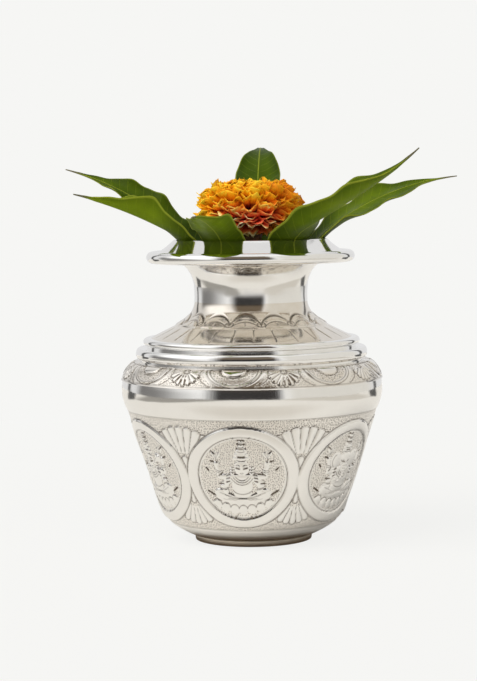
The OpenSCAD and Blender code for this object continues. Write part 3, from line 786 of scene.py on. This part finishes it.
def make_shoulder():
    """Sloping shoulder band with its ledge: the outer curve, the ledge, then the same back inside."""
    shelf_r = LOWER_R - BULGE - RING_T - LEDGE
    knee = [mix(SEAM_R, SHOULDER_TOP_R, 0.42), mix(EDGE_Z, SHELF_Z, 0.86)]
    outer = bezier([[SEAM_R, EDGE_Z], knee, [SHOULDER_TOP_R, SHELF_Z]], 34)
    inner = inner_side(outer, 5)
    inner[-1] = [SEAM_R - SHEET, EDGE_Z]
    profile = np.concatenate([outer, [[shelf_r, SHELF_Z], [shelf_r, SHELF_Z - SHEET]], inner])
    chasing = shoulder_relief(way_along(outer)[:, None], turns(900))
    chasing[0][[0, -1]] = 0
    points, marks = chased_round(profile, 0, chasing, SHOULDER_FRONT, SHOULDER_PITCH)
    pot_ring("chased_shoulder", "shoulder_band", points, worn, marks)


def cone_relief(b, turn):
    """Lotus chasing on the neck cone, from the distance b up its slope and the angle: arched petals with a second
    arch inside each, a curl at their feet, and radial lines below. Returns height, tarnish and no stipple."""
    pitch = 360 / CONE_PETALS
    u = wrapped(turn - CONE_FRONT - pitch / 2, pitch) / pitch
    arch, inner_arch = (np.sqrt(held(1 - (width * u) ** 2)) for width in (2, 2.5))
    high, inner_high = 17.5 + 8.0 * arch, 15.2 + 5.6 * inner_arch
    steep = 0.5 + 0.6 * np.abs(2 * u) ** 6
    arches = bell(b - high, 0.55 * (1 + steep)) + 0.8 * bell(b - inner_high, 0.5) * (np.abs(u) < 0.4)
    across, foot = u * pitch * 0.6, 0.5 * pitch * 0.6
    curl = np.hypot(np.minimum(np.abs(across - foot), np.abs(across + foot)), b - 18.6)
    reach = smooth((b - 1.2) / 1.0) * smooth((14.5 - b) / 3.0)
    rays = [bell((u - at) * pitch * 0.85, 0.26 + 0.02 * b) * reach for at in (-0.25, 0.25)]
    vein = bell(u * pitch * 0.7, 0.3) * smooth((b - 15.5) / 1.0) * smooth((inner_high - 0.8 - b) / 1.0)
    curls = [0.9 * bell(curl - 2.0, 0.45), 0.7 * bell(curl - 0.4, 0.5)]
    lines = held(np.maximum.reduce([arches, *curls, *rays, 0.6 * vein]))
    petal = smooth((high - b) / 0.8) * smooth((b - 14.0) / 2.0)
    inside = smooth((inner_high - b) / 0.8) * smooth((b - 14.6) / 1.5)
    height = (0.35 * petal + 0.25 * inside - 0.32 * lines) * smooth(b)
    return height, held(0.62 * lines) * smooth(b), 0 * lines


def make_cone():
    """Neck cone: the outer curve from the upper ring to the waist, then the inner side back."""
    outer = bezier([[CONE_R, UPPER_TOP_Z], [mix(CONE_R, NECK_R, 0.44), UPPER_TOP_Z + 0.3 * CONE_H],
                    [mix(CONE_R, NECK_R, 0.96), UPPER_TOP_Z + 0.48 * CONE_H], [NECK_R, CONE_TOP_Z]], 72)
    inner = inner_side(outer, 6)
    inner[0], inner[-1] = [NECK_R - SHEET, CONE_TOP_Z], [CONE_R - 2 * SHEET, UPPER_TOP_Z]
    chasing = cone_relief(way_along(outer)[:, None], turns(900))
    points, marks = chased_round(np.concatenate([outer, inner]), 0, chasing, CONE_FRONT, 360 / CONE_PETALS)
    pot_ring("lotus_cone", "neck_cone", points, reflection_browned, marks)


def make_turned(node, profile, metal):
    """A plain ring of the pot: a closed profile (r, z) carried round the axis."""
    pot_ring("turned_" + node, node, carried_round(profile, 256), metal, crease=35)


def step_ring_profile(outer_r, h, z, shelf_r):
    """A groove, half an ellipse that bulges above it, and a ledge inwards for the next piece."""
    top_r, inner_r, half = outer_r - BULGE, outer_r - BULGE - RING_T, (h - GROOVE_H) / 2
    a = radians(np.linspace(-90, 90, 49))
    bulge = np.stack([top_r + BULGE * cos(a), z + GROOVE_H + half * (1 + sin(a))], 1)
    return np.concatenate([
        straight([inner_r, z], [top_r, z], 3), bulge,
        straight([top_r - 0.3, z + h], [shelf_r, z + h], 5),
        [[shelf_r, z + h - SHEET], [inner_r, z + h - SHEET]]])


def neck_profile():
    """Waist that is slightly hollow above its foot, a flare to the flange's underside, and the same back inside."""
    bend_r, under = FLANGE_R - 3.4, FLANGE_Z - SHEET
    outer = joined(
        straight([NECK_R, CONE_TOP_Z], [NECK_R, WAIST_TOP_Z], 24),
        bezier([[NECK_R, WAIST_TOP_Z], [NECK_R, WAIST_TOP_Z + 0.6 * FLARE_H],
                [mix(NECK_R, bend_r, 0.37), under], [bend_r, under]], 60),
        straight([bend_r, under], [FLANGE_R, under], 4))
    up = outer[:, 1] - CONE_TOP_Z
    swell = smooth((up - 2.5) / 12) * (1 - smooth((up - 17) / 6))
    outer[:, 0] += NECK_SWELL * swell + NECK_FOOT * held(1 - up / 3) ** 2
    inner = inner_side(outer, 3)
    inner[-1] = [NECK_R - SHEET, CONE_TOP_Z]
    return np.concatenate([outer, inner])


def roll_profile():
    """Round roll of the rim, flat on its inner side where the flange ends on it."""
    a = np.linspace(-ROLL_FLAT, ROLL_FLAT, 73)
    return np.array([ROLL_C, FLANGE_Z]) + ROLL_R * ray(a)


def cover_profile():
    """Coved top of the rim: a hollow curve up to a rounded lip, then the inner side back to the flange."""
    lip_a = radians(62)
    mid, off = np.array([LIP_R, LIP_Z - LIP_EDGE_R]), LIP_EDGE_R * ray(lip_a)
    lip_out, lip_in = mid + off, mid - off
    skirt = np.array([FLANGE_R, FLANGE_Z + ROLL_R * sin(ROLL_FLAT)])
    knee = np.array([mix(FLANGE_R, LIP_R, 0.5), mix(skirt[1], lip_out[1], 0.34)])
    a = lip_a + radians(np.linspace(0, 180, 17))[1:-1]
    edge = mid + LIP_EDGE_R * ray(a)
    inner = bezier([lip_in, knee - 0.75 * SHEET, [FLANGE_R - 1.6 * SHEET, FLANGE_Z]], 16)
    return np.concatenate([[[FLANGE_R, FLANGE_Z]], bezier([skirt, knee, lip_out], 40), edge, inner])


make_belly()
for number in range(MEDALLIONS):
    make_medallion(number)
make_shoulder()
make_cone()
lower_ring = step_ring_profile(LOWER_R, LOWER_H, SHELF_Z, UPPER_R - BULGE - RING_T - LEDGE)
upper_ring = step_ring_profile(UPPER_R, UPPER_H, LOWER_TOP_Z, CONE_R - 2 * SHEET - LEDGE)
make_turned("lower_step_ring", lower_ring, polished)
make_turned("upper_step_ring", upper_ring, polished)
make_turned("neck_flare", neck_profile(), satin)
make_turned("rim_roll", roll_profile(), polished)
make_turned("mouth_cover", cover_profile(), polished)
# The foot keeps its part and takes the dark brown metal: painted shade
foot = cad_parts["foot_ring"]
foot.data.materials.clear()
foot.data.materials.append(shade_darkened)


# Mango leaves: azimuth, turn, rise, angle at the tip, curl, fold, roll, reach, half width and shade of each one; the
# shade is partly the leaf's own tone and partly painted light and shade.
# Angles are in degrees and lengths in millimetres. What the leaves share follows.

LEAVES = {
    "left_back_leaf": (152, 4, 36, 15, 1, 26, -24, 86, 11, 0.15),
    "left_leaf": (198, 24, 27, 11, 1, 46, 0, 68, 13, 1.0),
    "front_left_leaf": (247, 14, 21, -4, 1, 10, 4, 54, 12.5, 1.0),
    "right_front_leaf": (305, 80, 25, 40, 1, 34, 8, 86, 14.5, 0.4),
    "right_back_leaf": (12, 4, 35, 6, 1, 10, 20, 86, 13.5, 0.3),
    "back_leaf": (85, 2, 58, -28, 2.4, 10, 0, 94, 13, 0.0),
}
SWELL, SHRINK, TAIL, TAIL_D, SAG = 0.3, 0.58, 0.92, 1.8, 0.10
WAVES = ((1.5, 2.0, 70), (0.3, 0.9, 40))
DIP, DIP_ANGLE, DIP_FOLD, LIP_FOLD, FOLD_RUN, BEND_R = 56.0, 60.0, 50.0, 14.0, 0.4, 36.0
MIDRIB_T, MARGIN_T, STALK_D, STALK_L, SEAT = 1.5, 0.6, 2.6, 22.0, 0.3


def make_leaf(i, name):
    """A folded leaf: its midrib dips into the neck, bends over the lip and eases to the tip, added up in small
    steps. Each half rises from the midrib by the fold, with waves towards the margin, and the section is thick
    at the midrib and thin at the margin."""
    azimuth, turn, rise, tip, curl, fold, roll, reach, half_w, tone = LEAVES[name]
    half_bend = BEND_R * (DIP_ANGLE - rise) * pi / 360

    def slope(s):
        bent = mix(DIP_ANGLE, rise, held((s + half_bend) / (2 * half_bend)))
        late = held((s - half_bend) / (reach - half_bend)) ** curl
        return radians(bent + (tip - rise) * late)

    def heading(s):
        return radians(azimuth + turn * np.maximum(0, s) / reach)

    def along(s):
        level = cos(slope(s))
        return np.stack([cos(heading(s)) * level, sin(heading(s)) * level, sin(slope(s))], -1)

    def walked(length, n):
        step = length / n
        return np.cumsum(along((np.arange(n) + 0.5) * step) * step, 0)

    lean, off = slope(np.float64(0)), LIP_EDGE_R + SEAT + MIDRIB_T / 2
    r, way = LIP_R - off * sin(lean), heading(np.float64(0))
    seat = np.array([r * cos(way), r * sin(way), LIP_Z - LIP_EDGE_R + off * cos(lean)])
    n_in, n_out, cols = 70, 150, 11
    s = np.concatenate([-DIP * np.arange(n_in, 0, -1) / n_in, reach * np.arange(n_out + 1) / n_out])
    rib = seat + np.concatenate([walked(-DIP, n_in)[::-1], np.zeros((1, 3)), walked(reach, n_out)])

    flat_side = np.stack([-sin(heading(s)), cos(heading(s)), 0 * s], -1)
    flat_up = np.cross(along(s), flat_side)
    twist = radians(roll * smooth(2 * s / reach))[:, None]
    side = flat_side * cos(twist) + flat_up * sin(twist)
    up = flat_up * cos(twist) - flat_side * sin(twist)
    over_lip = min(fold, LIP_FOLD)
    opened = mix(DIP_FOLD, over_lip, smooth(1 + 2 * s / DIP))
    lift = radians(opened + (fold - over_lip) * smooth(s / reach / FOLD_RUN))
    x = held((s + DIP - STALK_L) / (reach + DIP - STALK_L))
    blade = smooth(x / SWELL) * (1 - smooth((x - SHRINK) / (TAIL - SHRINK)))
    tail = mix(TAIL_D, MARGIN_T, held((x - TAIL) / (1 - TAIL)))
    w = mix(np.where(s > 0, tail, STALK_D) / 2, half_w, blade)
    grown = smooth(s / half_w) * w / half_w
    wave, fine = ((size * grown * sin(radians(360 * s / half_w / length + shift * i)))[:, None]
                  for size, length, shift in WAVES)

    v = np.linspace(-1, 1, 2 * cols + 1)
    v = np.concatenate([v[::-1], v])
    face = np.where(np.arange(len(v)) <= 2 * cols, 1.0, -1.0)
    thin = np.minimum(1, 0.3 + w / STALK_D)[:, None]
    thick = mix(MIDRIB_T, MARGIN_T, np.sqrt(np.abs(v))) / 2 * face * thin
    folded = (w * sin(lift))[:, None] * np.abs(v)
    sag = -SAG * w[:, None] * sin(pi * np.abs(v))
    height = folded + sag + (wave + fine * np.sign(v)) * v * v + thick
    half = side * (w * cos(lift))[:, None]
    points = rib[:, None] + half[:, None] * v[:, None] + up[:, None] * height[..., None]

    full = np.ones(points.shape[:2])
    marks = {
        "along": s[:, None] * full, "side": w[:, None] * v, "rim": np.abs(v) * full,
        # the last table column: partly the leaf's own tone, partly painted light and shade, from dark to bright
        "under": (face < 0) * full, "tone_and_painted_light": tone * full,
        "tip": 0.9 * smooth((x[:, None] - TAIL + 0.04) / 0.08) * full,
    }
    flat, faces = capped(points)
    piece(name + "_blade", flat, faces, leaf_finish, name, [name], with_caps(marks))


for number, leaf in enumerate(LEAVES):
    make_leaf(number, leaf)


# Marigold: the head's sizes, then the rise, spread, count, half width, curl and droop of each tier of petals

HEAD_R, HEAD_H, HEAD_LIFT, HEART_R, HEART_LOW = 31.0, 33.0, 14.0, 10.0, 8.4
CALYX_R, CALYX_H, STEM_R, CORE_R = 6.5, 11.0, 2.3, 0.3
HEAD_Z = LIP_Z + HEAD_LIFT
CALYX_TOP_Z = HEAD_Z - HEART_LOW
CALYX_Z = CALYX_TOP_Z - CALYX_H
TIERS = ((-50, 34, 22, 3.9, 0.1, 4), (-20, 11, 31, 4.3, 0.4, 22), (6, 11, 35, 4.3, 0.9, 26),
         (30, 11, 32, 4.2, 1.0, 12), (53, 12, 26, 3.8, 0.8, 4), (76, 16, 14, 3.2, 0.4, 0))


def make_petals(k):
    """One tier of petals in two staggered rings. A petal runs from the heart to the edge of the head; it widens
    to a blunt, notched end, is cupped across, and its edge is ruffled. Every petal has its own turn and length.
    The petals at the front droop, and those low in the front and on the right are redder."""
    chance = np.random.default_rng(61 + k)
    angle, spread, petals, half_w, curl, droop = TIERS[k]
    count = 2 * petals
    n = np.arange(count)
    rows, half = 6, 2
    ring = n % 2
    turn = radians((n // 2 + ring / 2) * 360 / petals + 11 * k + chance.uniform(-4, 4, count))
    rise = radians(angle + spread * (ring - 0.5) + chance.uniform(-5, 5, count))
    rise = rise - radians(droop) * bell(wrapped(np.degrees(turn) - 270, 360), 32)
    length = chance.uniform(0.88, 1.03 - 0.02 * k, count)
    high = np.where(rise > 0, HEAD_H - HEAD_LIFT - 2.0, HEAD_LIFT - 0.5)
    edge = np.stack([(HEAD_R + 1.5) * cos(rise), high * sin(rise)], -1) * length[:, None]
    root = 0.72 * HEART_R * ray(rise)
    run = np.linalg.norm(edge - root, axis=1)[:, None]
    way = (edge - root) / run
    over = np.stack([-way[:, 1], way[:, 0]], -1)

    far = np.linspace(0, 1, rows)[None, :, None]
    u = np.linspace(-1, 1, 2 * half + 1)
    u = np.concatenate([u[::-1], u])
    face = np.where(np.arange(len(u)) <= 2 * half, 1.0, -1.0)

    def pick(low, high):
        return chance.uniform(low, high, (count, 1, 1))

    wide = half_w * pick(0.85, 1.2) * (0.35 + 0.65 * smooth(far * 1.3))
    out = far * (1 - 0.15 * u ** 2 * far - curl * 0.10 * far ** 2 + 0.03 * cos(3 * pi * u) * far ** 2)
    ruffle = 1.2 * far ** 2 * sin(pi * pick(1.0, 1.7) * u + pick(0, 2 * pi))
    cup = pick(0.6, 2.4) * u ** 2 * far
    arch = 1.2 * sin(pi * far) + curl * pick(3.5, 7.5) * far ** 3
    roll = radians(pick(-22, 22))
    across = wide * u * cos(roll) - (cup + ruffle) * sin(roll)
    lift = arch + cup + ruffle + 0.22 * face + wide * u * sin(roll)
    root, reach, over = (values[:, None, None] for values in (root, way * run, over))
    spine = root + reach * out[..., None] + over * lift[..., None]
    r, z = spine[..., 0], spine[..., 1]
    c, s = cos(turn)[:, None, None], sin(turn)[:, None, None]
    points = np.stack([r * c - across * s, r * s + across * c, HEAD_Z + z], -1)

    full = np.ones(points.shape[:3])
    low = smooth((HEAD_Z + 8.0 - points[..., 2]) / 11)
    front = smooth(-points[..., 1] / HEAD_R * 2.2)
    middle = 1 - smooth((np.abs(points[..., 0] + 0.5) - 11) / 12)
    marks = {
        "reach": (out + 0 * u) * full, "side": u * full, "deep": low * front * middle,
        "hue": pick(0, 1) * full + 0.12 * (k - 2.5) / 2.5 - smooth(points[..., 0] / HEAD_R),
    }
    cols = len(u)
    base = n[:, None, None] * rows * cols
    ends = np.array([[j, j + 1, cols - 2 - j, cols - 1 - j] for j in range(2 * half)])
    faces = [(part[None] + base).reshape(-1, 4) for part in (
        skin(rows, cols), ends[:, ::-1], ends + (rows - 1) * cols)]
    piece(f"petals_{k + 1}", points.reshape(-1, 3), faces, petal_finish, "marigold",
          [f"petal_tier_{k + 1}"], marks)


def make_flower_core():
    """Heart, calyx and stem: profiles carried round the axis, with shallow ribs."""
    a = radians(np.linspace(-np.degrees(np.arcsin(HEART_LOW / HEART_R)), 86, 40))
    heart = np.array([0, HEAD_Z]) + HEART_R * ray(a)
    calyx = joined(straight([CORE_R, CALYX_Z], [STEM_R, CALYX_Z], 3),
                   bezier([[STEM_R, CALYX_Z], [1.1 * CALYX_R, CALYX_Z + 2.2], [CALYX_R, CALYX_TOP_Z]], 30),
                   straight([CALYX_R, CALYX_TOP_Z], [CORE_R, CALYX_TOP_Z], 4))
    foot_z = FOOT_H + SHEET + SEAT
    stem = joined(straight([CORE_R, foot_z], [STEM_R, foot_z], 2),
                  straight([STEM_R, foot_z], [STEM_R, CALYX_Z], 60),
                  straight([STEM_R, CALYX_Z], [CORE_R, CALYX_Z], 2))
    cols = 120
    turn = radians(turns(cols))
    for name, profile, ribs, deep, finish, slot in (
        ("heart", heart, 21, 0.35, petal_finish, "petal"),
        ("calyx", calyx, 10, 0.35, calyx_finish, "calyx"),
        ("stem", stem, 6, 0.12, stem_finish, "stem"),
    ):
        relief = -deep * (0.5 - 0.5 * cos(ribs * turn))[None] * smooth((profile[:, :1] - 0.6) / 1.5)
        points, faces = capped(carried_round(profile, cols, relief))
        marks = {"reach": np.full(len(points), 0.18), "deep": np.full(len(points), 0.8)}
        piece("flower_" + name, points, faces, finish, "marigold", ["marigold_" + name],
              marks if slot == "petal" else None, 60)


for number in range(len(TIERS)):
    make_petals(number)
make_flower_core()


# Floor, light and camera

BACKDROP = (0.922, 0.922, 0.905)


def make_floor():
    """Square pale floor, plain to the camera. In the metal it shows as a white table: a painted contact shadow,
    brown, under the pot, a little browner in front of it, dark at two places behind, and dimmer past its left and
    right edges."""
    mesh = bpy.data.meshes.new("floor")
    mesh.from_pydata([(-1, -1, 0), (1, -1, 0), (1, 1, 0), (-1, 1, 0)], [], [(0, 1, 2, 3)])
    floor = placed("floor", mesh)
    made = bpy.data.materials.new("pale_floor")
    root = emptied(made)
    place = root.node("TexCoord", out=3)
    x, y, _ = place.split()
    away = root.vector("LENGTH", place)
    bearing = root.math("ARCTAN2", x, 0 - y) * DEGREES
    wobble = root.noise(14.0, 1.0) * 0.03
    past_edges = (abs(x) + wobble).ease(0.37, 0.385) * (1 - y.ease(0.1, 0.3))
    sides = bearing.ease(-12, 12).blend((0.33, 0.32, 0.30), (0.60, 0.575, 0.53))
    behind = (1 - abs(abs(bearing) - 128).ease(6, 10)) * away.ease(0.40, 0.46)
    before = y.span(-0.32, -0.19, -0.15, -0.09) * (1 - abs(x).ease(0.04, 0.26))
    shown = behind.blend((0.79, 0.775, 0.745), grey(0.10))
    # Painted contact shadow: brown floor colour close under the pot, seen in the metal and in light bounced off the
    # floor
    shown = away.ease(0.0325, 0.038).blend((0.34, 0.29, 0.24), shown)
    shown = (before * 0.36).blend(shown, (0.44, 0.39, 0.32))
    shown = past_edges.blend(shown, sides)
    seen = root.node("LightPath")
    cloth = root.node("BsdfDiffuse", values={"Color": seen.blend(shown, (0.84, 0.84, 0.83))})
    plain = root.node("Emission", values={"Color": BACKDROP, "Strength": 1.0})
    share = (0.90 + away.ease(0.2, 0.6) * 0.10) * seen
    veil = root.node("MixShader", values={0: share, 1: cloth, 2: plain})
    root.node("OutputMaterial", values={"Surface": veil})
    mesh.materials.append(made)


def make_light():
    """World of soft light. Matt surfaces are lit by an even glow, brighter from the front, and a large soft lamp,
    high on the left. The metal shows a studio: white walls that are greyer behind and on the right, a dim room
    towards the camera, dusk low on the left with a window above it, and a thin dark post behind on each side.
    The camera itself sees the plain backdrop. Bearings and heights are in degrees, from the camera's side."""
    world = bpy.data.worlds.new("studio")
    scene.world = world
    root = emptied(world)
    way = root.node("TexCoord")
    x, y, z = way.split()
    bearing = root.math("ARCTAN2", x, 0 - y) * DEGREES
    height = root.math("ARCSINE", z) * DEGREES
    right = bearing.span(22, 40, 118, 136) * (1 - height.ease(40, 65))
    dusk = bearing.span(-126, -112, -98, -36) * (1 - height.ease(10, 34))
    posts = (1 - abs(abs(bearing) - 138).ease(2.0, 5.0)) * (1 - height.ease(20, 50))
    ahead = bearing.span(-48, -28, 20, 31) * height.span(-8.5, -4.5, 50, 70)
    window = bearing.span(-125, -92, -62, -36) * height.span(4, 20, 44, 62)
    room = height.ease(10, 24).blend((0.036, 0.034, 0.034), (0.17, 0.135, 0.10))
    studio = abs(bearing).ease(96, 112).blend(grey(0.97), (0.78, 0.78, 0.785))
    for share, colour in ((right, (0.76, 0.74, 0.69)), (dusk * 0.9, (0.15, 0.145, 0.14)),
                          (posts, grey(0.10)), (ahead, room), (window, grey(1.3))):
        studio = share.blend(studio, colour)
    front = root.vector("DOT_PRODUCT", way, (0, -0.98, 0.2))
    lamp = root.vector("DOT_PRODUCT", way, (-0.52, -0.34, 0.783))
    glow = front.ease(-0.1, 1.0).blend(grey(0.40), (1.05, 1.03, 1.0))
    glow = lamp.ease(0.89, 0.965).blend(glow, (5.2, 5.1, 4.9))
    seen = root.node("LightPath")
    mirrored = Wire(seen.tree, seen.socket.node.outputs["Is Glossy Ray"])
    shown = seen.blend(mirrored.blend(glow, studio), BACKDROP)
    light = root.node("Background", values={"Color": shown, "Strength": 1.0})
    root.node("OutputWorld", values={"Surface": light})


def make_camera():
    """The photograph's view: level with the leaves, a little to the left, tipped down and turned a trifle. The
    focal length is 2000 pixels of a picture that is 681 pixels tall."""
    sensor, focal_px, tall_px = 36, 2000, 681
    lens = bpy.data.cameras.new("camera")
    lens.lens = sensor * focal_px / tall_px
    lens.sensor_width = sensor
    lens.clip_start, lens.clip_end = 0.01, 100
    camera = placed("camera", lens)
    tip, roll = Matrix.Rotation(radians(90 - 4.3), 4, "X"), Matrix.Rotation(radians(-0.7), 4, "Z")
    camera.matrix_world = Matrix.Translation((-0.0070, -1.080, 0.1887)) @ tip @ roll
    scene.camera = camera


make_floor()
make_light()
make_camera()
bpy.context.scene.view_settings.view_transform = "Standard"
